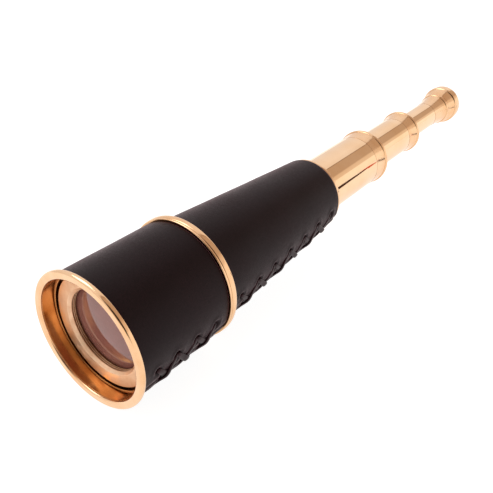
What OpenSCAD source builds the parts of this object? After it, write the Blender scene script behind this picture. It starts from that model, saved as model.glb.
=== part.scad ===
// Three-draw brass spyglass with a laced leather sheath, shown drawn out.
// The axis lies along Y: the objective faces -Y and the eyepiece faces +Y.
// A station is a distance along the axis, behind the front face of the rim.
// The origin is under the middle of the drawn-out length, at the lowest point.

/* [Barrel] */
// Outer radius of the leather just behind the front rim
front_r = 28.2; // [23:0.1:34]
// How much smaller the radius of the front leather is at its rear end
front_taper = 1.1; // [0.5:0.1:2]
// Length of the front leather
front_len = 49.7; // [41:0.1:60]
// Step down in radius from the front leather to the rear leather
rear_step = 1.8; // [1:0.1:2.5]
// Length of the rear leather
rear_len = 94.3; // [78:0.1:114]
// Thickness of the leather
leather_t = 1.2; // [1:0.1:1.5]
// Wall of the brass tubes under the leather
body_wall = 0.8; // [0.6:0.05:1.2]

/* [Front rim and objective] */
// Length of the rim in front of the leather
rim_len = 2.4; // [2:0.1:3]
// How far the rim stands out of the leather
rim_proud = 1.8; // [1.4:0.1:2.4]
// Wall of the sleeve round the recess
recess_wall = 0.6; // [0.5:0.05:0.8]
// Depth of the lens cell's face inside the rim
recess_depth = 7.5; // [6:0.1:9]
// How much smaller the radius of the lens cell's face is than that of the recess
cell_gap = 1.7; // [1.4:0.1:2.1]
// Depth of the groove round the lens cell
cell_gap_depth = 4; // [3.3:0.1:5]
// Length of the cell's seat in the sleeve
cell_seat_len = 5.5; // [4.5:0.1:6.6]
// Width of the flat face of the lens cell
cell_face_w = 6.6; // [5.5:0.1:7.9]
// Width of the ledge in the cell that the lenses rest on
lens_ledge = 1.4; // [1.1:0.1:1.7]
// How far the cell reaches behind its lens retainer
cell_tail = 0.4; // [0.2:0.1:1]

/* [Middle ring] */
// Length of the ring between the two leathers
mid_len = 3.8; // [3.1:0.1:4.6]
// How far the front bead of the ring stands out of the front leather
mid_proud = 1.2; // [0.9:0.1:1.5]
// Length of each spigot of the ring inside its tube
spigot_len = 5.5; // [4.5:0.5:7]

/* [Draws] */
// Outer radius of the eyepiece draw
draw3_r = 7.9; // [6.5:0.1:9.5]
// Step up in radius from the eyepiece draw to the middle draw
draw2_step = 3.2; // [2.6:0.1:3.9]
// Step up in radius from the middle draw to the first draw
draw1_step = 3.5; // [2.9:0.1:4.2]
// Step up in radius from the first draw to the bore of the body
body_step = 2; // [1.9:0.1:2.4]
// Wall of the draw tubes
draw_wall = 0.7; // [0.5:0.05:0.9]
// How far the first draw stands out of the body, with its collar
draw1_show = 55.5; // [46:0.5:67]
// How far the middle draw stands out of the first draw, with its collar
draw2_show = 46.5; // [38.5:0.5:56]
// How far the eyepiece draw stands out, with the eyepiece
draw3_show = 64.5; // [58:0.5:77.5]
// Length of the guide sleeve inside each tube's rear end
guide_len = 14; // [11.5:0.5:17]
// Length of the stop ring on each draw's front end
stop_len = 5.5; // [4.5:0.5:7]
// Thickness of the felt that each draw runs in
felt_t = 0.8; // [0.6:0.05:1]
// Running clearance between felt and draw
running_gap = 0.05; // [0.02:0.01:0.1]

/* [Collars] */
// Length of the collar at the rear of the leather
body_collar_len = 2.8; // [2.2:0.1:3.4]
// Length of the flare in front of a draw collar's bead
cove_len = 8; // [6.5:0.5:9.5]
// Length of a draw collar's bead
bead_len = 2.2; // [1.8:0.1:2.7]
// Length of the thin edge behind the bead
edge_len = 0.8; // [0.6:0.1:1]
// How far the first draw's bead stands out of its tube
bead1_proud = 1.15; // [1:0.05:1.4]
// How far the middle draw's bead stands out of its tube
bead2_proud = 1.7; // [1.4:0.05:2]

/* [Eyepiece] */
// Length of the flared eyepiece mount
bell_len = 23; // [19:0.5:27]
// Length of the eye cap
cap_len = 9; // [7.5:0.5:11]
// How far the eye cap stands out of the eyepiece draw
cap_proud = 4; // [3.3:0.1:4.8]
// Radius of the eye hole
eye_hole_r = 3.5; // [2.5:0.1:4]
// Length of the erector tube
erector_len = 36; // [30:1:42]

/* [Lacing] */
// Angle of the seam round the barrel, from the top towards +X
seam_angle = 116; // [90:1:180]
// Distance from the seam to each row of lace holes
hole_offset = 6.5; // [4:0.5:8]
// Distance from each end of a leather to its first lace hole
hole_margin = 8; // [6.5:0.5:9.5]
// Least pitch of the lace holes in the front leather
front_pitch = 11; // [9:0.5:13]
// Least pitch of the lace holes in the rear leather
rear_pitch = 12.5; // [10.5:0.5:15]
// Radius of the lace
lace_r = 0.6; // [0.5:0.05:0.75]

/* [Pose] */
// How far the first draw is out, from 0 (pushed in) to 1 (drawn out)
draw1_out = 1; // [0:0.05:1]
// How far the middle draw is out
draw2_out = 1; // [0:0.05:1]
// How far the eyepiece draw is out
draw3_out = 1; // [0:0.05:1]

/* [Hidden] */
$fn = 96;

// Gaps
seat_gap = 0.02;        // between turned pieces of one body
end_gap = 0.3;          // left between a draw's shoulder and its stop
lip_gap = 0.25;         // between a collar's mouth and the draw in it
stop_side_gap = 0.3;    // between a stop ring and the tube round it
cell_step = 0.5;        // step from the seat of a push-in cap down to the cell's seat
cap_clear = 0.3;        // from that step to the cell's face
feather = 0.06;         // thickness of a flare where it starts on its tube

// Radii of the barrel
rim_r = front_r + rim_proud;
front_rear_r = front_r - front_taper;
rear_front_r = front_rear_r - rear_step;
draw2_r = draw3_r + draw2_step;
draw1_r = draw2_r + draw1_step;
body_bore_r = draw1_r + body_step;
rear_rear_r = body_bore_r + body_wall + leather_t;
sleeve_r = front_r - leather_t;
sleeve_rear_bore_r = front_rear_r - leather_t - body_wall;
recess_r = sleeve_r - recess_wall;
cell_seat_r = recess_r - cell_step;
cell_face_r = recess_r - cell_gap;
aperture_r = cell_face_r - cell_face_w;
lens_r = aperture_r + lens_ledge;
mid_ring_r = front_rear_r + mid_proud;
axis_z = max(rim_r, mid_ring_r);

// Stations of the barrel
mid_at = rim_len + front_len;
rear_at = mid_at + mid_len;
collar_at = rear_at + rear_len;
body_end = collar_at + body_collar_len;

// The draws, listed with the body as stage 0
stage_r = [body_bore_r, draw1_r, draw2_r, draw3_r];
stage_bore = [body_bore_r, draw1_r - draw_wall, draw2_r - draw_wall, draw3_r - draw_wall];
stage_show = [0, draw1_show, draw2_show, draw3_show];
ring_len = cove_len + bead_len + edge_len;
eyepiece_len = bell_len + cap_len;
stage_tail = [0, ring_len, ring_len, eyepiece_len];
stage_out = [1, draw1_out, draw2_out, draw3_out];
bead_proud = [0, bead1_proud, bead2_proud];
total_len = body_end + draw1_show + draw2_show + draw3_show;

// Front lens group
rabbet_at = 1.3;             // where the rim takes the end of the sleeve
cap_seat_end = recess_depth - cap_clear;
cell_flange_at = recess_depth + cell_gap_depth;
cell_seat_end = cell_flange_at + cell_seat_len;
cell_barrel_wall = 1.4;
cell_groove = 0.4;           // width and depth of the grooves in the cell's mouth
glass_at = 2.3;              // apex of the crown lens behind the cell's face
crown_front_curve = lens_r * 5.64;
crown_back_curve = lens_r * 4.62;
crown_t = 6.2;
flint_t = 1.5;
cement_gap = 0.08;
retainer_t = 2;
flint_at = recess_depth + glass_at + crown_t + cement_gap;
retainer_at = flint_at + flint_t + seat_gap;
cell_end = retainer_at + retainer_t + cell_tail;

// Eyepiece and erector
tube_seat = 14;              // how far the eyepiece draw runs into the bell
cap_bead_len = 3.2;
rim_land = 3;
dish_depth = 2.6;
ocular_wall = 1;
ocular_lens_r = stage_bore[3] - ocular_wall - seat_gap;
field_lens_t = 3;
eye_lens_t = 2.6;
small_curve = 18;
erector_setback = 1.5;
erector_lens_t = 2.4;
erector_ring_t = 1.4;
erector_hole_r = 2;
erector_inset = 2.5;

// Shapes -------------------------------------------------------------

// Radius of the body tube's bore at a station
function body_bore(station) =
    let (front = rear_front_r - leather_t - body_wall)
    front + (body_bore_r - front) * (station - rear_at) / rear_len;

// Rear end of a stage when every draw is out
function end_of(stage) = stage == 0 ? body_end : end_of(stage - 1) + stage_show[stage];

// Front end of a draw, inside the stage before it
function start_of(stage) = end_of(stage - 1) - guide_len - stop_len - end_gap;

function travel(stage) = stage_show[stage] - stage_tail[stage] - end_gap;

// How far a stage is pushed in, with the stages that carry it
function pushed_in(stage) =
    stage == 0 ? 0 : pushed_in(stage - 1) + (1 - stage_out[stage]) * travel(stage);

// Half-ellipse bead from one station to the next
function bead(base, crest, from, len, steps = 10) = [
    for (i = [0 : steps]) let (a = 180 * i / steps)
        [base + (crest - base) * sin(a), from + len * (1 - cos(a)) / 2]
];

// Trumpet flare that starts along the axis and steepens
function cove(r0, r1, from, len, steps = 8) = [
    for (i = [0 : steps]) let (t = i / steps)
        [r0 + (r1 - r0) * (1 - cos(90 * t)), from + len * t]
];

// Quarter round between two angles; 0 points outwards, 90 to the rear
function round_edge(r, station, radius, a0, a1, steps = 6) = [
    for (i = [0 : steps]) let (a = a0 + (a1 - a0) * i / steps)
        [r + radius * cos(a), station + radius * sin(a)]
];

// Carries children along the axis with the stage they belong to
module on_stage(stage) {
    translate([0, -pushed_in(stage) - total_len / 2, axis_z]) children();
}

// Turns children so that their +Z runs along the axis from a station
module at_station(station) {
    translate([0, station, 0]) rotate([-90, 0, 0]) children();
}

// Turned piece: profile points are [radius, station]
module turned(stage, profile, start = 0) {
    on_stage(stage) at_station(0) rotate([0, 0, start]) rotate_extrude() polygon(profile);
}

module tube(stage, r_out, r_in, from, to) {
    turned(stage, [[r_in, from], [r_out, from], [r_out, to], [r_in, to]]);
}

// How far a face of a curve radius falls back at a distance from the axis.
// A negative radius is a hollow face, and 0 is a flat one.
function sag(curve, r) = curve == 0 ? 0 : curve - sign(curve) * sqrt(curve ^ 2 - r ^ 2);

// Lens of a thickness on the axis; a positive curve bulges out of its face
module lens(stage, r, apex, thickness, front_curve, back_curve, steps = 12) {
    turned(stage, concat(
        [for (i = [0 : steps]) let (x = r * i / steps)
            [x, apex + sag(front_curve, x)]],
        [for (i = [steps : -1 : 0]) let (x = r * i / steps)
            [x, apex + thickness - sag(back_curve, x)]]
    ));
}

// Point on a barrel surface of a radius, by angle from the top and station
function round_point(r, angle, station) = [r * sin(angle), station, r * cos(angle)];

module rod(a, b, r) {
    d = b - a;
    translate(a)
        rotate([0, acos(d.z / norm(d)), atan2(d.y, d.x)])
        cylinder(r = r, h = norm(d), $fn = 48);
}

// One lace over the seam, from a hole in front to the hole behind it on the other side.
// A hole is [radius, station], and side is 1 if the front hole is below the seam.
module strand(front, rear, side, lift) {
    middle = (front + rear) / 2;
    top = round_point(middle[0] + lift, seam_angle, middle[1]);
    for (end = [1, -1]) {
        hole = end > 0 ? front : rear;
        turn = side * end * hole_offset / hole[0] * 180 / PI;
        rod(round_point(hole[0], seam_angle + turn, hole[1]), top, lace_r);
    }
    translate(top) sphere(r = lace_r * 1.1, $fn = 48);
}

// Two laces that cross over the seam. At a hole, the laces of neighbouring
// crossings stop a little apart.
module crossing(front, rear) {
    share = lace_r * 1.3 / (rear[1] - front[1]);
    near = front + (rear - front) * share;
    far = rear - (rear - front) * share;
    strand(near, far, 1, lace_r);
    strand(near, far, -1, lace_r * 3.3);
}

// Crossed lacing along a leather whose radius runs from r0 to r1
module lacing(from, len, r0, r1, pitch) {
    laced = len - 2 * hole_margin;
    count = floor(laced / pitch);
    holes = [for (i = [0 : count]) let (along = hole_margin + laced * i / count)
        [r0 + (r1 - r0) * along / len, from + along]];
    on_stage(0) for (i = [1 : count]) crossing(holes[i - 1], holes[i]);
}

// Conical leather with a small round at both outer edges
module leather(from, len, r0, r1) {
    edge = leather_t / 4;
    turned(0, [
        [r0 - leather_t, from], [r0 - edge, from], [r0, from + edge],
        [r1, from + len - edge], [r1 - edge, from + len], [r1 - leather_t, from + len],
    ]);
}

// Inside of a collar: mouth, felt seat and guide sleeve of an outer radius
function guide_profile(stage, end, sleeve_r) =
    let (draw = stage_r[stage + 1], seat = draw + running_gap + felt_t)
    [
        [draw + lip_gap, end], [draw + lip_gap, end - edge_len],
        [seat, end - edge_len], [seat, end - guide_len],
        [sleeve_r, end - guide_len],
    ];

module felt(stage) {
    draw = stage_r[stage + 1];
    end = end_of(stage);
    tube(stage, draw + running_gap + felt_t, draw + running_gap, end - guide_len, end - edge_len);
}

// Tube of a draw, up to the bead of its collar or into the eyepiece bell
module draw_tube(stage) {
    seat = stage == 3 ? eyepiece_len - tube_seat : bead_len + edge_len;
    tube(stage, stage_r[stage], stage_bore[stage], start_of(stage), end_of(stage) - seat);
}

module draw_stop(stage) {
    from = start_of(stage);
    outer = stage_bore[stage - 1] - stop_side_gap;
    edge = stop_len / 8;
    turned(stage, [
        [stage_r[stage], from], [outer - edge, from], [outer, from + edge],
        [outer, from + stop_len], [stage_r[stage], from + stop_len],
    ]);
}

// Collar at the rear of a draw: flare, bead, thin edge and inner guide
module draw_collar(stage) {
    end = end_of(stage);
    r = stage_r[stage];
    crest = r + bead_proud[stage];
    base = crest - bead_len / 4;
    bead_at = end - edge_len - bead_len;
    turned(stage, concat(
        [[r, bead_at - cove_len]],
        cove(r + feather, base, bead_at - cove_len, cove_len),
        bead(base, crest, bead_at, bead_len),
        [[base - edge_len / 2, end - edge_len], [base - edge_len / 2, end]],
        guide_profile(stage, end, stage_bore[stage] - seat_gap),
        [[stage_bore[stage] - seat_gap, bead_at], [r, bead_at]]
    ));
}

// Barrel -------------------------------------------------------------

// Rounded lip with a rabbet at the back for the end of the sleeve
module objective_rim() {
    inner_round = 1;
    outer_round = 1.2;
    back_round = 0.8;
    color("goldenrod") turned(0, concat(
        [[recess_r, rabbet_at]],
        round_edge(recess_r + inner_round, inner_round, inner_round, 180, 270),
        round_edge(rim_r - outer_round, outer_round, outer_round, -90, 0),
        round_edge(rim_r - back_round, rim_len - back_round, back_round, 0, 90),
        [[sleeve_r + seat_gap, rim_len], [sleeve_r + seat_gap, rabbet_at]]
    ));
}

// Tube under the front leather, with the seats of a push-in cap and of the cell
module front_sleeve() {
    from = rabbet_at + seat_gap;
    color("darkgoldenrod") turned(0, [
        [recess_r, from], [sleeve_r, from], [sleeve_r, rim_len],
        [front_rear_r - leather_t, mid_at], [sleeve_rear_bore_r, mid_at],
        [sleeve_rear_bore_r, cell_seat_end], [cell_seat_r, cell_seat_end],
        [cell_seat_r, cap_seat_end], [recess_r, cap_seat_end],
    ]);
}

module front_cover() {
    color([0.13, 0.1, 0.1]) leather(rim_len, front_len, front_r, front_rear_r);
}

module front_lace() {
    color([0.08, 0.05, 0.05])
        lacing(rim_len, front_len, front_r, front_rear_r, front_pitch);
}

// A narrow and a wide bead with a shallow groove between, and a spigot at each side.
// The barrel lies on this ring. Its outline starts at the top, so that a faceted copy
// with an odd number of sides rests on a flat and not on a corner.
module mid_ring() {
    front_bead = mid_len * 0.28;
    groove_r = mid_ring_r - mid_proud * 0.4;
    wall = body_wall * 1.5;
    front_spigot_r = sleeve_rear_bore_r - seat_gap;
    rear_spigot_r = body_bore(rear_at + spigot_len) - seat_gap;
    bore = rear_spigot_r - wall;
    color("goldenrod") turned(0, concat(
        [[bore, mid_at - spigot_len], [front_spigot_r, mid_at - spigot_len]],
        [[front_spigot_r, mid_at]],
        bead(groove_r, mid_ring_r - mid_proud * 0.1, mid_at, front_bead),
        bead(groove_r, mid_ring_r, mid_at + front_bead, mid_len - front_bead),
        [[rear_spigot_r, rear_at], [rear_spigot_r, rear_at + spigot_len]],
        [[bore, rear_at + spigot_len]]
    ), start = -90);
}

module body_tube() {
    front = rear_front_r - leather_t;
    rear = rear_rear_r - leather_t;
    color("darkgoldenrod") turned(0, [
        [front - body_wall, rear_at], [front, rear_at],
        [rear, collar_at], [rear - body_wall, collar_at],
    ]);
}

module rear_cover() {
    color([0.16, 0.12, 0.12]) leather(rear_at, rear_len, rear_front_r, rear_rear_r);
}

module rear_lace() {
    color([0.08, 0.05, 0.05])
        lacing(rear_at, rear_len, rear_front_r, rear_rear_r, rear_pitch);
}

// Rim with a wide and a narrow step, and the guide of the first draw
module body_collar() {
    wide = body_collar_len * 0.6;
    step_r = rear_rear_r - leather_t;
    flange_r = rear_rear_r - leather_t / 3;
    sleeve_r = body_bore_r - seat_gap;
    color("goldenrod") turned(0, concat(
        [[sleeve_r, collar_at]],
        bead(flange_r - leather_t / 4, flange_r, collar_at, wide),
        [[step_r, collar_at + wide], [step_r, body_end]],
        guide_profile(0, body_end, sleeve_r)
    ));
}

module body_felt() {
    color("darkgreen") felt(0);
}

// Objective ----------------------------------------------------------

// Flat ring with a grooved mouth, a flange behind it and the seat of the lenses
module objective_cell() {
    flange_r = cell_seat_r - seat_gap;
    barrel = lens_r + cell_barrel_wall;
    mouth = 1.2;
    edge = 0.3;
    ledge_r = aperture_r + cell_groove;
    ledge_at = recess_depth + glass_at + sag(crown_front_curve, ledge_r) - seat_gap;
    lip = [for (i = [0 : 2]) let (s = recess_depth + mouth + 2 * cell_groove * i) each [
        [aperture_r, s], [aperture_r, s + cell_groove],
        [ledge_r, s + cell_groove], [ledge_r, s + 2 * cell_groove],
    ]];
    color("khaki") turned(0, concat(
        [[barrel, cell_end], [barrel, cell_seat_end - seat_gap]],
        [[flange_r, cell_seat_end - seat_gap], [flange_r, cell_flange_at]],
        [[cell_face_r, cell_flange_at]],
        round_edge(cell_face_r - edge, recess_depth + edge, edge, 0, -90, 3),
        [[aperture_r + mouth, recess_depth], [aperture_r + mouth / 2, recess_depth + mouth / 2]],
        lip,
        [[ledge_r, ledge_at], [lens_r + seat_gap, ledge_at], [lens_r + seat_gap, cell_end]]
    ));
}

module crown_lens() {
    color([0.6, 0.5, 0.5, 0.5])
        lens(0, lens_r, recess_depth + glass_at, crown_t, crown_front_curve, crown_back_curve);
}

module flint_lens() {
    color([0.5, 0.6, 0.6, 0.5])
        lens(0, lens_r, flint_at, flint_t, -crown_back_curve, 0);
}

module objective_retainer() {
    color("dimgray") tube(0, lens_r, aperture_r, retainer_at, retainer_at + retainer_t);
}

// Eyepiece and erector -----------------------------------------------

// Flared mount: a long flare, a small bead and a cone up to the cap
module eyepiece_bell() {
    end = end_of(3);
    front = end - eyepiece_len;
    cap_at = end - cap_len;
    flare_len = bell_len * 0.6;
    bead_at = front + flare_len;
    flare_r = draw3_r + cap_proud * 0.34;
    neck_r = flare_r - cap_proud * 0.05;
    cone_at = bead_at + cap_bead_len;
    lip_r = draw3_r + cap_proud * 0.8;
    bore = stage_bore[3];
    color("goldenrod") turned(3, concat(
        [[draw3_r, front]],
        cove(draw3_r + feather, flare_r, front, flare_len),
        bead(flare_r, flare_r + cap_proud * 0.16, bead_at, cap_bead_len),
        [[neck_r, cone_at], [neck_r, cone_at + edge_len]],
        [[lip_r, cap_at], [bore, cap_at], [bore, front + tube_seat]],
        [[draw3_r, front + tube_seat]]
    ));
}

// Rounded cap with a dished rear face and the eye hole
module eye_cap() {
    end = end_of(3);
    from = end - cap_len;
    r = draw3_r + cap_proud;
    round_in = 1.4;
    round_out = cap_len - rim_land - round_in;
    land_end = from + round_in + rim_land;
    dish_r = r - round_out;
    color("goldenrod") turned(3, concat(
        [[eye_hole_r, from + eye_lens_t + seat_gap], [ocular_lens_r, from + eye_lens_t + seat_gap]],
        [[ocular_lens_r, from]],
        round_edge(r - round_in, from + round_in, round_in, -90, 0),
        round_edge(r - round_out, land_end, round_out, 0, 90),
        [[dish_r - 1, end], [eye_hole_r + 1, end - dish_depth], [eye_hole_r, end - dish_depth]]
    ));
}

module ocular_tube() {
    from = end_of(3) - eyepiece_len + ocular_wall;
    to = end_of(3) - cap_len;
    r = stage_bore[3] - seat_gap;
    lip = ocular_wall * 2;
    color("dimgray") turned(3, [
        [ocular_lens_r, from], [r, from], [r, to],
        [r - lip, to], [r - lip, from + field_lens_t + seat_gap],
        [ocular_lens_r, from + field_lens_t + seat_gap],
    ]);
}

module field_lens() {
    from = end_of(3) - eyepiece_len + ocular_wall;
    color([0.6, 0.6, 0.7, 0.5])
        lens(3, ocular_lens_r - seat_gap, from, field_lens_t, small_curve, 0);
}

module eye_lens() {
    from = end_of(3) - cap_len + seat_gap;
    color([0.6, 0.6, 0.7, 0.5])
        lens(3, ocular_lens_r - seat_gap, from, eye_lens_t - seat_gap, small_curve, 0);
}

erector_at = start_of(3) + erector_setback;
erector_bore = stage_bore[3] - ocular_wall - seat_gap;

module erector_tube() {
    lens_end = erector_inset + erector_lens_t;
    step_r = erector_bore - ocular_wall;
    color("dimgray") turned(3, [
        [erector_bore, erector_at], [stage_bore[3] - seat_gap, erector_at],
        [stage_bore[3] - seat_gap, erector_at + erector_len],
        [erector_bore, erector_at + erector_len],
        [erector_bore, erector_at + erector_len - lens_end],
        [step_r, erector_at + erector_len - lens_end],
        [step_r, erector_at + lens_end], [erector_bore, erector_at + lens_end],
    ]);
}

// Front and rear lenses, with their flat faces outwards
module erector_lenses() {
    r = erector_bore - seat_gap;
    color([0.6, 0.6, 0.7, 0.5]) {
        lens(3, r, erector_at + erector_inset, erector_lens_t, 0, small_curve);
        lens(3, r, erector_at + erector_len - erector_inset - erector_lens_t,
            erector_lens_t, small_curve, 0);
    }
}

module erector_retainers() {
    r = erector_bore - seat_gap;
    front = erector_at + erector_inset - erector_ring_t - seat_gap;
    rear = erector_at + erector_len - erector_inset + seat_gap;
    color("dimgray") for (from = [front, rear])
        tube(3, r, r - ocular_wall, from, from + erector_ring_t);
}

module erector_stop() {
    r = erector_bore - ocular_wall - seat_gap;
    middle = erector_at + erector_len / 2;
    color("black") tube(3, r, erector_hole_r, middle, middle + ocular_wall);
}

objective_rim();
front_sleeve();
front_cover();
front_lace();
mid_ring();
body_tube();
rear_cover();
rear_lace();
body_collar();
body_felt();
objective_cell();
crown_lens();
flint_lens();
objective_retainer();
color("gold") draw_tube(1);  // draw1_tube
color("goldenrod") draw_stop(1);  // draw1_stop
color("goldenrod") draw_collar(1);  // draw1_collar
color("darkgreen") felt(1);  // draw1_felt
color("gold") draw_tube(2);  // draw2_tube
color("goldenrod") draw_stop(2);  // draw2_stop
color("goldenrod") draw_collar(2);  // draw2_collar
color("darkgreen") felt(2);  // draw2_felt
color("gold") draw_tube(3);  // draw3_tube
color("goldenrod") draw_stop(3);  // draw3_stop
eyepiece_bell();
eye_cap();
ocular_tube();
field_lens();
eye_lens();
erector_tube();
erector_lenses();
erector_retainers();
erector_stop();
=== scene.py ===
"""Looks of a three-draw brass spyglass in a laced leather sheath.

The CAD model gives the places and sizes. The leather covers and their lacing are built here
as pieces of their own. The turned brass, the felt and the glass keep their CAD shapes and
get their finishes. Lengths are in metres. The axis runs along Y and the front faces -Y.
"""

import math
import random

import bpy
import numpy as np
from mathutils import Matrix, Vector


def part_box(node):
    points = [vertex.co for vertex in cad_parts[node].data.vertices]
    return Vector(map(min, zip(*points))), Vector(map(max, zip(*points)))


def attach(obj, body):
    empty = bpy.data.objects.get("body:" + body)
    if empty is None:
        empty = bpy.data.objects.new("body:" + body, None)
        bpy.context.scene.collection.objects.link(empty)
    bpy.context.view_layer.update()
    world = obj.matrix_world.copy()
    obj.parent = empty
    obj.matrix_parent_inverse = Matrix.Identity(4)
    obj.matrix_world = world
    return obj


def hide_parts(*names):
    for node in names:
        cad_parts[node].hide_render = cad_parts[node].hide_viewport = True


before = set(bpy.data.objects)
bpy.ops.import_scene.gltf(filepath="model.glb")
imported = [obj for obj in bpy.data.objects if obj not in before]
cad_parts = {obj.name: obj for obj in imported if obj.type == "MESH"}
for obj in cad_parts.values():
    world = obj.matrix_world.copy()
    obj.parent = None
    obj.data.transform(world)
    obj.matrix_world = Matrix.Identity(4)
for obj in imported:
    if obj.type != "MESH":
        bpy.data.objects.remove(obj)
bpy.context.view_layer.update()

MM = 0.001
WHOLE_TURN = 2 * math.pi


# Places taken from the frame -------------------------------------------


def middle(node):
    low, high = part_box(node)
    return (low + high) / 2


AXIS_Z = middle("objective_rim").z
FRONT_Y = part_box("objective_rim")[0].y


def radius_near(node, y, reach=0.6 * MM):
    """Largest radius of a CAD node close to a place on the axis."""
    points = [v.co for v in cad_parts[node].data.vertices if abs(v.co.y - y) < reach]
    return max(math.hypot(p.x, p.z - AXIS_Z) for p in points)


def round_point(radius, angle, y):
    """A point round the barrel. The angle runs from the top towards +X."""
    return Vector((radius * math.sin(angle), y, AXIS_Z + radius * math.cos(angle)))


# Leather covers and lacing ---------------------------------------------

SEAM_ANGLE = math.radians(116)
HOLE_OFFSET = 6.5 * MM
HOLE_MARGIN = 8 * MM
LEATHER_T = 1.15 * MM
SEAM_GAP = 0.25 * MM
LACE_WIDTH = 2.7 * MM
LACE_T = 1.15 * MM
HOLE_STRAY = 0.3 * MM  # how far a hole lies from its even place
GRID = 0.5 * MM  # spacing of a cover's points near its seam

# Heights and depths of the leather's relief
EDGE_DROP = 0.3 * MM
WAVE = 0.05 * MM
SEAM_SWELL = 0.3 * MM
SEAM_DEPTH = 0.6 * MM
LACE_PRESS = 0.35 * MM
HOLE_SWELL = 0.25 * MM
HOLE_DEPTH = 0.9 * MM

# A lace strand's ends lie below the leather, and an upper strand rises over the lower one
END_DEPTH = 1.0 * MM
LACE_REST = 0.1 * LACE_T
LACE_OVER = 0.75 * LACE_T


class Cover:
    """A conical leather cover with crossed lacing over its seam."""

    def __init__(self, node, pitch, seed):
        low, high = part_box(node)
        self.node = node
        self.start = low.y
        self.end = high.y
        self.r_start = radius_near(node, low.y)
        self.r_end = radius_near(node, high.y)
        self.chance = random.Random(seed)
        self.below, self.above = self.place_holes(pitch)

    def radius(self, y):
        share = (y - self.start) / (self.end - self.start)
        return self.r_start + (self.r_end - self.r_start) * share

    def place_holes(self, pitch):
        """Rows of holes as (distance across from the seam, y), below and above the seam."""
        laced = self.end - self.start - 2 * HOLE_MARGIN
        count = math.floor(laced / pitch)
        rows = []
        for side in (1, -1):
            row = []
            for i in range(count + 1):
                stray = self.chance.uniform(-1, 1) * HOLE_STRAY
                y = self.start + HOLE_MARGIN + laced * i / count
                row.append((side * HOLE_OFFSET + stray, y + stray))
            rows.append(row)
        return rows

    def strands(self):
        """Lace strands as (front hole, rear hole, whether it lies on top)."""
        pairs = []
        for i in range(len(self.below) - 1):
            on_top = i % 2 == 0
            pairs.append((self.below[i], self.above[i + 1], on_top))
            pairs.append((self.above[i], self.below[i + 1], not on_top))
        return pairs


def bump(distance, width):
    """Smooth hill of height 1 whose side falls off over a width."""
    return np.exp(-((distance / width) ** 2))


def distance_to_line(u, y, a, b):
    """Distance from points (u, y) to the segment from a to b."""
    du = b[0] - a[0]
    dy = b[1] - a[1]
    share = np.clip(((u - a[0]) * du + (y - a[1]) * dy) / (du * du + dy * dy), 0, 1)
    return np.hypot(u - a[0] - share * du, y - a[1] - share * dy)


def leather_relief(cover, u, y):
    """Height of the leather over its cone: edges, seam, laced holes and slow unevenness."""
    from_end = np.minimum(y - cover.start, cover.end - y)
    height = -EDGE_DROP * bump(from_end, 0.5 * MM)
    height += WAVE * np.sin(u / (7 * MM) + y / (11 * MM)) * np.sin(y / (8.3 * MM))
    height += SEAM_SWELL * bump(np.abs(u) - 2.8 * MM, 2.0 * MM)
    height -= SEAM_DEPTH * bump(u, 0.7 * MM)
    for front, rear, _ in cover.strands():
        height -= LACE_PRESS * bump(distance_to_line(u, y, front, rear), 1.7 * MM)
    for hole in cover.below + cover.above:
        away = np.hypot(u - hole[0], y - hole[1])
        height += HOLE_SWELL * bump(away - 2.8 * MM, 1.1 * MM)
        height -= HOLE_DEPTH * bump(away, 1.4 * MM)
    return height


def seam_columns(radius):
    """Distances round the cover from the seam: fine beside it and coarse elsewhere."""
    half = math.pi * radius
    fine = 11 * MM
    near = np.arange(SEAM_GAP / 2, fine, GRID)
    far = np.linspace(fine, half, 52)
    side = np.concatenate((near, far))
    return np.concatenate((side, 2 * half - side[-2::-1]))


def grid_faces(rows, columns, first, flipped):
    faces = []
    for i in range(rows - 1):
        for j in range(columns - 1):
            a = first + i * columns + j
            face = (a, a + 1, a + columns + 1, a + columns)
            faces.append(face[::-1] if flipped else face)
    return faces


def border(rows, columns):
    """Vertex numbers round the edge of a grid, in order."""
    top = list(range(columns))
    right = [i * columns + columns - 1 for i in range(1, rows)]
    bottom = [(rows - 1) * columns + j for j in range(columns - 2, -1, -1)]
    left = [i * columns for i in range(rows - 2, 0, -1)]
    return top + right + bottom + left


def make_object(name, points, faces, material):
    mesh = bpy.data.meshes.new(name)
    mesh.from_pydata([tuple(p) for p in points], [], faces)
    mesh.polygons.foreach_set("use_smooth", [True] * len(mesh.polygons))
    mesh.materials.append(material)
    mesh.update()
    piece = bpy.data.objects.new(name, mesh)
    bpy.context.scene.collection.objects.link(piece)
    return piece


def make_cover(cover, name, material):
    """Closed shell: the worked outer face, a plain inner face and the cut edges."""
    rows = np.arange(cover.start, cover.end + GRID / 5, GRID)
    rows[-1] = cover.end
    mean_r = (cover.r_start + cover.r_end) / 2
    around = seam_columns(mean_r)
    angle, y = np.meshgrid(around / mean_r, rows)
    radius = cover.radius(y)
    u = np.where(angle > math.pi, angle - WHOLE_TURN, angle) * radius
    outer = radius + leather_relief(cover, u, y)
    inner = radius - LEATHER_T
    turned = SEAM_ANGLE + angle
    points = []
    for layer in (outer, inner):
        layer_points = np.stack((layer * np.sin(turned), y, AXIS_Z + layer * np.cos(turned)), -1)
        points.extend(layer_points.reshape(-1, 3))
    shape = angle.shape
    count = shape[0] * shape[1]
    faces = grid_faces(*shape, 0, True) + grid_faces(*shape, count, False)
    edge = border(*shape)
    for a, b in zip(edge, edge[1:] + edge[:1]):
        faces.append((a, b, b + count, a + count))
    piece = make_object(name, points, faces, material)
    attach(piece, "barrel")
    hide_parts(cover.node)
    return piece


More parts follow.
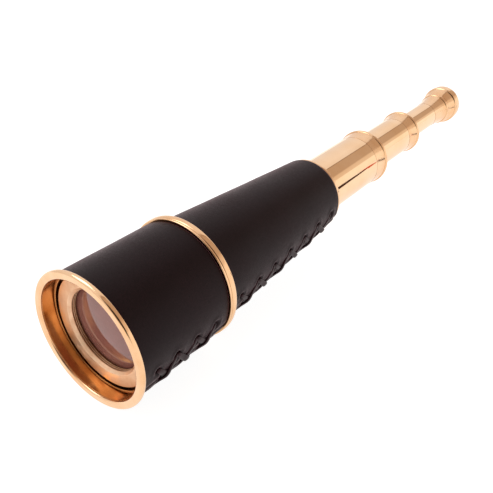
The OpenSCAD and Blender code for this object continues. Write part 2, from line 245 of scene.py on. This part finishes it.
def strand_path(cover, front, rear, on_top, steps=30):
    """Middle line of a strand, with its width share: out of a hole, over the seam, down."""
    bow = cover.chance.uniform(-0.35, 0.35) * MM
    path = []
    for i in range(steps + 1):
        share = i / steps
        u = front[0] + (rear[0] - front[0]) * share
        y = front[1] + (rear[1] - front[1]) * share + bow * math.sin(math.pi * share)
        rise = math.sin(math.pi * share) ** 0.4
        lift = -END_DEPTH + rise * (END_DEPTH + LACE_REST)
        if on_top:
            lift += LACE_OVER * bump(share - 0.5, 0.17)
        radius = cover.radius(y)
        path.append((round_point(radius + lift, SEAM_ANGLE + u / radius, y), rise))
    return path


def sweep(path, width, thickness, sides=14):
    """Points and faces of a soft flat strip along a path of (point, width share)."""
    places = [p for p, share in path]
    points = []
    for i, (place, share) in enumerate(path):
        ahead = places[min(i + 1, len(path) - 1)]
        behind = places[max(i - 1, 0)]
        along = (ahead - behind).normalized()
        out = Vector((place.x, 0, place.z - AXIS_Z)).normalized()
        across = along.cross(out).normalized()
        up = across.cross(along)
        half_w = width / 2 * (0.42 + 0.58 * share)
        for k in range(sides):
            turn = WHOLE_TURN * k / sides
            c, s = math.cos(turn), math.sin(turn)
            flat = abs(c) ** 0.75 * math.copysign(1, c)
            points.append(place + across * half_w * flat + up * thickness / 2 * s)
    faces = [tuple(range(sides))]
    for i in range(len(path) - 1):
        for k in range(sides):
            a = i * sides + k
            b = i * sides + (k + 1) % sides
            faces.append((a, a + sides, b + sides, b))
    faces.append(tuple(range(len(points) - 1, len(points) - sides - 1, -1)))
    return points, faces


def make_lacing(cover, name, node, material):
    points, faces = [], []
    for front, rear, on_top in cover.strands():
        width = LACE_WIDTH * cover.chance.uniform(0.92, 1.08)
        new_points, new_faces = sweep(strand_path(cover, front, rear, on_top), width, LACE_T)
        faces.extend(tuple(v + len(points) for v in face) for face in new_faces)
        points.extend(new_points)
    piece = make_object(name, points, faces, material)
    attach(piece, "barrel")
    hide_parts(node)
    return piece


# Materials --------------------------------------------------------------


class Finish:
    """A material under construction, with short calls for the nodes that it uses."""

    def __init__(self, name, **constants):
        self.material = bpy.data.materials.new(name)
        self.material.use_nodes = True
        self.tree = self.material.node_tree
        self.surface = self.tree.nodes["Principled BSDF"]
        for socket, value in constants.items():
            self.surface.inputs[socket.replace("_", " ")].default_value = value

    def node(self, kind, inputs=None, **settings):
        made = self.tree.nodes.new(kind)
        for key, value in settings.items():
            setattr(made, key, value)
        for key, value in (inputs or {}).items():
            if isinstance(value, bpy.types.NodeSocket):
                self.tree.links.new(value, made.inputs[key])
            else:
                made.inputs[key].default_value = value
        return made

    def link(self, output, socket):
        self.tree.links.new(output, self.surface.inputs[socket])

    def place(self):
        return self.node("ShaderNodeTexCoord").outputs["Object"]

    def math(self, operation, a, b=0.0):
        return self.node("ShaderNodeMath", {0: a, 1: b}, operation=operation).outputs[0]

    def noise(self, where, scale, detail=3.0, roughness=0.55):
        inputs = {"Vector": where, "Scale": scale, "Detail": detail, "Roughness": roughness}
        return self.node("ShaderNodeTexNoise", inputs).outputs["Fac"]

    def spread(self, value, low, high, to_low=0.0, to_high=1.0):
        inputs = {"Value": value, "From Min": low, "From Max": high}
        inputs.update({"To Min": to_low, "To Max": to_high})
        return self.node("ShaderNodeMapRange", inputs).outputs["Result"]

    def blend(self, factor, first, second):
        made = self.node("ShaderNodeMix", data_type="RGBA")
        for index, value in ((0, factor), (6, first), (7, second)):
            if isinstance(value, bpy.types.NodeSocket):
                self.tree.links.new(value, made.inputs[index])
            else:
                made.inputs[index].default_value = value
        return made.outputs[2]

    def relief(self, height, distance, strength=1.0, under=None):
        inputs = {"Height": height, "Distance": distance, "Strength": strength}
        if under is not None:
            inputs["Normal"] = under
        return self.node("ShaderNodeBump", inputs).outputs["Normal"]

    def lathe_place(self):
        """Place on a turned part as (radius, along the axis, 0), the same all the way round."""
        parts = self.node("ShaderNodeSeparateXYZ", {0: self.place()}).outputs
        height = self.math("SUBTRACT", parts["Z"], AXIS_Z)
        square = self.math("ADD", self.math("POWER", parts["X"], 2), self.math("POWER", height, 2))
        radius = self.math("SQRT", square)
        return self.node("ShaderNodeCombineXYZ", {"X": radius, "Y": parts["Y"]}).outputs[0]

    def crevice(self, reach):
        """1 on open surfaces, less in grooves and corners."""
        return self.node("ShaderNodeAmbientOcclusion", {"Distance": reach}, samples=8).outputs["AO"]


def rgb(red, green, blue):
    return (red, green, blue, 1.0)


def brass(name, light, dark, shine, lines, groove_tarnish_and_shade):
    """Turned brass: lathe lines, handling smudges, and tarnish with painted shade in its grooves and
    corners.
    """
    finish = Finish(name, Metallic=1.0)
    place = finish.place()
    lathe = finish.lathe_place()
    mottle = finish.spread(finish.noise(place, 90, 5), 0.38, 0.68)
    tone = finish.blend(mottle, light, dark)
    # Painted shade with tarnish: the groove colour goes where ambient occlusion finds grooves and
    # corners
    open_face = finish.spread(finish.crevice(1.6 * MM), 0.35, 0.95)
    finish.link(finish.blend(open_face, groove_tarnish_and_shade, tone), "Base Color")
    smudge = finish.spread(finish.noise(place, 260, 4, 0.65), 0.35, 0.75, shine, shine * 2.2)
    finish.link(smudge, "Roughness")
    cut = finish.noise(lathe, 2600, 2, 0.7)
    ripple = finish.noise(place, 120, 2)
    soft = finish.relief(ripple, 0.02 * MM, 0.5)
    finish.link(finish.relief(cut, 0.004 * MM, lines, soft), "Normal")
    return finish.material


def make_polished_brass():
    return brass("polished_brass", rgb(0.86, 0.56, 0.34), rgb(0.80, 0.47, 0.25), 0.10, 0.35,
                 rgb(0.34, 0.16, 0.05))


def make_satin_brass():
    return brass("satin_brass", rgb(0.88, 0.61, 0.41), rgb(0.79, 0.50, 0.31), 0.36, 1.0,
                 rgb(0.30, 0.14, 0.05))


# Painted shade: a darker, redder copy of the brass for the recess in the front sleeve, with near-black
# painted shade in its grooves
def make_recess_shade_brass():
    return brass("recess_shade_brass", rgb(0.80, 0.40, 0.14), rgb(0.60, 0.25, 0.07), 0.11, 1.0,
                 rgb(0.10, 0.03, 0.01))


def make_draw_brass():
    """Mirror-bright drawn tube with faint scratches along its travel."""
    finish = Finish("draw_brass", Metallic=1.0)
    place = finish.place()
    stretch = finish.node("ShaderNodeMapping", {"Vector": place, "Scale": (1.0, 0.04, 1.0)}).outputs[0]
    mottle = finish.spread(finish.noise(place, 60, 4), 0.35, 0.7)
    tone = finish.blend(mottle, rgb(0.89, 0.61, 0.39), rgb(0.85, 0.55, 0.32))
    finish.link(tone, "Base Color")
    scratches = finish.noise(stretch, 5200, 3, 0.7)
    film = finish.noise(place, 140, 4, 0.6)
    shine = finish.math("ADD", finish.spread(film, 0.35, 0.75, 0.02, 0.07),
                        finish.spread(scratches, 0.62, 0.8, 0.0, 0.05))
    finish.link(shine, "Roughness")
    finish.link(finish.relief(scratches, 0.002 * MM, 0.3), "Normal")
    return finish.material


def make_blackened_brass():
    finish = Finish("blackened_brass", Metallic=0.6)
    place = finish.place()
    patches = finish.spread(finish.noise(place, 180, 5), 0.35, 0.7)
    finish.link(finish.blend(patches, rgb(0.022, 0.018, 0.016), rgb(0.075, 0.052, 0.038)), "Base Color")
    finish.link(finish.spread(patches, 0, 1, 0.42, 0.62), "Roughness")
    finish.link(finish.relief(finish.noise(finish.lathe_place(), 2200, 2), 0.01 * MM, 0.5), "Normal")
    return finish.material


def make_leather():
    """Smooth dark-brown leather: fine pebbled grain, slow tone changes, and reddish-black painted shade
    in its crevices round the seam, holes and laces.
    """
    finish = Finish("dark_leather", Specular_IOR_Level=0.12, Sheen_Weight=0.22, Sheen_Roughness=0.31)
    finish.surface.inputs["Specular Tint"].default_value = rgb(1.0, 0.76, 0.80)
    finish.surface.inputs["Sheen Tint"].default_value = rgb(0.85, 0.36, 0.44)
    place = finish.place()
    wobble = finish.noise(place, 900, 2)
    cells = finish.node("ShaderNodeTexVoronoi", {"Vector": place, "Scale": 1900.0, "Randomness": 1.0},
                        feature="DISTANCE_TO_EDGE").outputs["Distance"]
    pebble = finish.spread(cells, 0.0, 0.28)
    pores = finish.spread(finish.noise(place, 5200, 2), 0.3, 0.7)
    stretch = finish.node("ShaderNodeMapping", {"Vector": place, "Scale": (1, 2.6, 1)}).outputs[0]
    creases = finish.noise(stretch, 160, 5, 0.62)
    patches = finish.spread(finish.noise(place, 45, 4), 0.35, 0.7)
    body = finish.blend(patches, rgb(0.009, 0.0038, 0.0048), rgb(0.016, 0.0064, 0.0078))
    grained = finish.blend(pebble, rgb(0.004, 0.0025, 0.0026), body)
    # Painted shade: reddish-black where ambient occlusion finds crevices, along the seam, in the holes
    # and under the laces
    painted_crevice_shade = finish.spread(finish.crevice(2.4 * MM), 0.55, 1.0)
    finish.link(finish.blend(painted_crevice_shade, rgb(0.006, 0.0006, 0.0015), grained), "Base Color")
    rough = finish.math("ADD", finish.spread(wobble, 0.3, 0.7, 0.40, 0.50),
                        finish.spread(patches, 0, 1, -0.03, 0.05))
    finish.link(rough, "Roughness")
    slow = finish.relief(creases, 0.10 * MM, 0.35)
    grain = finish.relief(pebble, 0.035 * MM, 0.5, slow)
    finish.link(finish.relief(pores, 0.012 * MM, 0.35, grain), "Normal")
    return finish.material


def make_lace_leather():
    """Thinner, redder thong leather with a burnished face and fibrous edges."""
    finish = Finish("lace_leather", Specular_IOR_Level=0.22)
    finish.surface.inputs["Specular Tint"].default_value = rgb(1.0, 0.62, 0.68)
    place = finish.place()
    fibre = finish.noise(place, 2400, 3, 0.65)
    patches = finish.spread(finish.noise(place, 320, 3), 0.35, 0.7)
    tone = finish.blend(patches, rgb(0.005, 0.0006, 0.0012), rgb(0.014, 0.0026, 0.0038))
    finish.link(tone, "Base Color")
    finish.link(finish.spread(fibre, 0.3, 0.7, 0.34, 0.5), "Roughness")
    finish.link(finish.relief(fibre, 0.04 * MM, 0.5), "Normal")
    return finish.material


def make_felt():
    finish = Finish("felt", Roughness=0.95, Sheen_Weight=0.4, Specular_IOR_Level=0.1)
    place = finish.place()
    fluff = finish.noise(place, 3800, 4, 0.7)
    tufts = finish.spread(fluff, 0.3, 0.7)
    tone = finish.blend(tufts, rgb(0.012, 0.03, 0.018), rgb(0.035, 0.08, 0.045))
    finish.link(tone, "Base Color")
    finish.link(finish.relief(fluff, 0.12 * MM, 0.8), "Normal")
    return finish.material


def make_glass():
    """Old objective glass, only partly clear: a mauve-brown base colour paints in its reflections and
    the dark tube seen through it, under a faint warm film of dust.
    """
    finish = Finish("glass", IOR=1.52, Transmission_Weight=0.4)
    place = finish.place()
    film = finish.noise(place, 150, 5, 0.6)
    dust = finish.spread(finish.noise(place, 1500, 4, 0.7), 0.62, 0.85)
    # Painted reflection and shade: the mauve-brown colour stands in for what the lens reflects and for
    # the dark tube behind it
    painted_lens_look = finish.blend(finish.spread(film, 0.3, 0.7), rgb(0.44, 0.17, 0.14), rgb(0.36, 0.14, 0.11))
    finish.link(finish.blend(dust, painted_lens_look, rgb(0.55, 0.42, 0.36)), "Base Color")
    finish.link(finish.spread(film, 0.3, 0.75, 0.01, 0.06), "Roughness")
    return finish.material


def finish_cad_nodes():
    """Gives each shown CAD node its finish and rounds its sharp edges a little."""
    finishes = {
        "polished_brass": make_polished_brass(),
        "satin_brass": make_satin_brass(),
        "blackened_brass": make_blackened_brass(),
        "felt": make_felt(),
        "glass": make_glass(),
    }
    draw_brass = make_draw_brass()
    own_finish = {
        "front_sleeve": make_recess_shade_brass(),
        "draw1_tube": draw_brass,
        "draw2_tube": draw_brass,
        "draw3_tube": draw_brass,
    }
    for name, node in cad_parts.items():
        slot = node.material_slots[0]
        family = slot.material.name.split(".")[0]
        if family in finishes:
            slot.material = own_finish.get(name, finishes[family])
            soften_edges(node)


def soften_edges(node, width=0.12 * MM):
    """Joins the faces of a CAD node, rounds its corners and shades it smooth between them."""
    mesh = node.data
    if "custom_normal" in mesh.attributes:
        mesh.attributes.remove(mesh.attributes["custom_normal"])
    mesh.polygons.foreach_set("use_smooth", [True] * len(mesh.polygons))
    weld = node.modifiers.new("join_faces", "WELD")
    weld.merge_threshold = 0.002 * MM
    corner = node.modifiers.new("round_corners", "BEVEL")
    corner.limit_method = "ANGLE"
    corner.angle_limit = math.radians(32)
    corner.width = width
    corner.segments = 2
    corner.use_clamp_overlap = True
    even = node.modifiers.new("even_shading", "WEIGHTED_NORMAL")
    even.keep_sharp = True


# Studio -------------------------------------------------------------------

CAMERA_AZIMUTH = math.radians(38.15)
CAMERA_ELEVATION = math.radians(32.82)
CAMERA_DISTANCE = 311.2 * MM
CAMERA_LENS = 48.64
AIM_BEHIND_RIM = 93.56 * MM
AIM_SIDE = 3.28 * MM
AIM_DROP = 3.14 * MM


def camera_back():
    """Direction from the object towards the camera."""
    level = math.cos(CAMERA_ELEVATION)
    return Vector((
        math.sin(CAMERA_AZIMUTH) * level,
        -math.cos(CAMERA_AZIMUTH) * level,
        math.sin(CAMERA_ELEVATION),
    ))


def make_camera():
    data = bpy.data.cameras.new("camera")
    data.lens = CAMERA_LENS
    data.sensor_width = 36
    data.clip_start = 10 * MM
    camera = bpy.data.objects.new("camera", data)
    bpy.context.scene.collection.objects.link(camera)
    back = camera_back()
    aim = Vector((AIM_SIDE, FRONT_Y + AIM_BEHIND_RIM, AXIS_Z - AIM_DROP))
    camera.location = aim + back * CAMERA_DISTANCE
    camera.rotation_euler = back.to_track_quat("Z", "Y").to_euler()
    bpy.context.scene.camera = camera


# Colour of the studio by the angle round the telescope's axis, in degrees from overhead
# towards +X. Bright panels stand left and right, with a dark edge and a warm wall between.
STUDIO_BANDS = (
    (-180, (0.80, 0.78, 0.76)),
    (-95, (0.95, 0.93, 0.92)),
    (-20, (1.05, 1.03, 1.02)),
    (3.5, (0.98, 0.95, 0.93)),
    (4.2, (0.30, 0.20, 0.14)),
    (6.0, (0.42, 0.30, 0.22)),
    (7.0, (0.60, 0.48, 0.38)),
    (46, (0.62, 0.50, 0.40)),
    (50, (0.88, 0.76, 0.64)),
    (64, (0.95, 0.85, 0.74)),
    (66, (1.25, 1.22, 1.15)),
    (88, (1.25, 1.22, 1.15)),
    (96, (0.85, 0.82, 0.80)),
    (180, (0.80, 0.78, 0.76)),
)


# The room is dark round the camera, fading to full light between two angles from it
DARK_ROUND_CAMERA = math.radians(20)
LIGHT_ROUND_CAMERA = math.radians(34)
DARKEST = 0.04


def studio_colour(nodes, links, direction):
    """Socket with the colour of the bands at a direction."""
    parts = nodes.new("ShaderNodeSeparateXYZ")
    links.new(direction, parts.inputs[0])
    turn = nodes.new("ShaderNodeMath")
    turn.operation = "ARCTAN2"
    links.new(parts.outputs["X"], turn.inputs[0])
    links.new(parts.outputs["Z"], turn.inputs[1])
    share = nodes.new("ShaderNodeMapRange")
    links.new(turn.outputs[0], share.inputs["Value"])
    share.inputs["From Min"].default_value = -math.pi
    share.inputs["From Max"].default_value = math.pi
    bands = nodes.new("ShaderNodeValToRGB")
    links.new(share.outputs["Result"], bands.inputs["Fac"])
    ramp = bands.color_ramp
    first, *between, last = STUDIO_BANDS
    ramp.elements[0].color = (*first[1], 1)
    ramp.elements[1].color = (*last[1], 1)
    for angle, colour in between:
        ramp.elements.new((angle + 180) / 360).color = (*colour, 1)
    return bands.outputs["Color"]


def studio_strength(nodes, links, direction):
    """Socket with the brightness at a direction: low round the camera and 1 elsewhere."""
    facing = nodes.new("ShaderNodeVectorMath")
    facing.operation = "DOT_PRODUCT"
    links.new(direction, facing.inputs[0])
    facing.inputs[1].default_value = camera_back()
    clear = nodes.new("ShaderNodeMapRange")
    links.new(facing.outputs["Value"], clear.inputs["Value"])
    clear.inputs["From Min"].default_value = math.cos(DARK_ROUND_CAMERA)
    clear.inputs["From Max"].default_value = math.cos(LIGHT_ROUND_CAMERA)
    clear.inputs["To Min"].default_value = DARKEST
    return clear.outputs["Result"]


def make_world():
    world = bpy.data.worlds.new("studio")
    world.use_nodes = True
    nodes, links = world.node_tree.nodes, world.node_tree.links
    direction = nodes.new("ShaderNodeTexCoord").outputs["Generated"]
    background = nodes["Background"]
    links.new(studio_colour(nodes, links, direction), background.inputs["Color"])
    links.new(studio_strength(nodes, links, direction), background.inputs["Strength"])
    bpy.context.scene.world = world


def make_floor():
    """Grey table that glows, so that it looks white and shadows on it stay faint."""
    half = 3.0
    corners = [(-half, -half, 0), (half, -half, 0), (half, half, 0), (-half, half, 0)]
    finish = Finish("white_table", Roughness=0.6, Specular_IOR_Level=0.1)
    mottle = finish.spread(finish.noise(finish.place(), 6), 0.3, 0.7)
    finish.link(finish.blend(mottle, rgb(0.30, 0.30, 0.30), rgb(0.32, 0.32, 0.32)), "Base Color")
    finish.surface.inputs["Emission Color"].default_value = rgb(1, 1, 1)
    finish.surface.inputs["Emission Strength"].default_value = 0.92
    floor = make_object("floor", corners, [(0, 1, 2, 3)], finish.material)


# Cards lying right of the telescope, as outlines in (x, y)
DARK_CARD = ((0.105, 0.090), (0.500, 0.590), (0.240, 0.347), (0.200, 0.297))
RED_CARD = ((0.150, 0.219), (0.450, 0.597), (0.330, 0.466), (0.170, 0.264))


def make_card(name, outline, height, dark, light):
    """Coloured card that shows only in reflections."""
    finish = Finish(name, Roughness=0.9, Specular_IOR_Level=0.1)
    weave = finish.spread(finish.noise(finish.place(), 40), 0.3, 0.7)
    finish.link(finish.blend(weave, dark, light), "Base Color")
    corners = [(x, y, height) for x, y in outline]
    card = make_object(name, corners, [(0, 1, 2, 3)], finish.material)
    card.visible_camera = False
    card.visible_shadow = False
    card.visible_diffuse = False


def make_softbox(name, place, size, power):
    data = bpy.data.lights.new(name, "AREA")
    data.shape = "RECTANGLE"
    data.size, data.size_y = size
    data.energy = power
    lamp = bpy.data.objects.new(name, data)
    bpy.context.scene.collection.objects.link(lamp)
    lamp.location = place
    lamp.rotation_euler = Vector(place).to_track_quat("Z", "Y").to_euler()


# Building -----------------------------------------------------------------

leather = make_leather()
lace_leather = make_lace_leather()
front = Cover("front_cover", 11 * MM, seed=3)
rear = Cover("rear_cover", 12.5 * MM, seed=8)
make_cover(front, "front_leather", leather)
make_cover(rear, "rear_leather", leather)
make_lacing(front, "front_thong", "front_lace", lace_leather)
make_lacing(rear, "rear_thong", "rear_lace", lace_leather)
finish_cad_nodes()

make_camera()
make_world()
make_floor()
make_card("dark_card", DARK_CARD, 1 * MM, rgb(0.05, 0.022, 0.012), rgb(0.075, 0.035, 0.018))
make_card("red_card", RED_CARD, 2 * MM, rgb(0.75, 0.09, 0.03), rgb(0.85, 0.13, 0.05))
make_softbox("key_softbox", (-0.5, -0.3, 0.9), (0.6, 0.6), 3.0)
bpy.context.scene.view_settings.view_transform = "Standard"
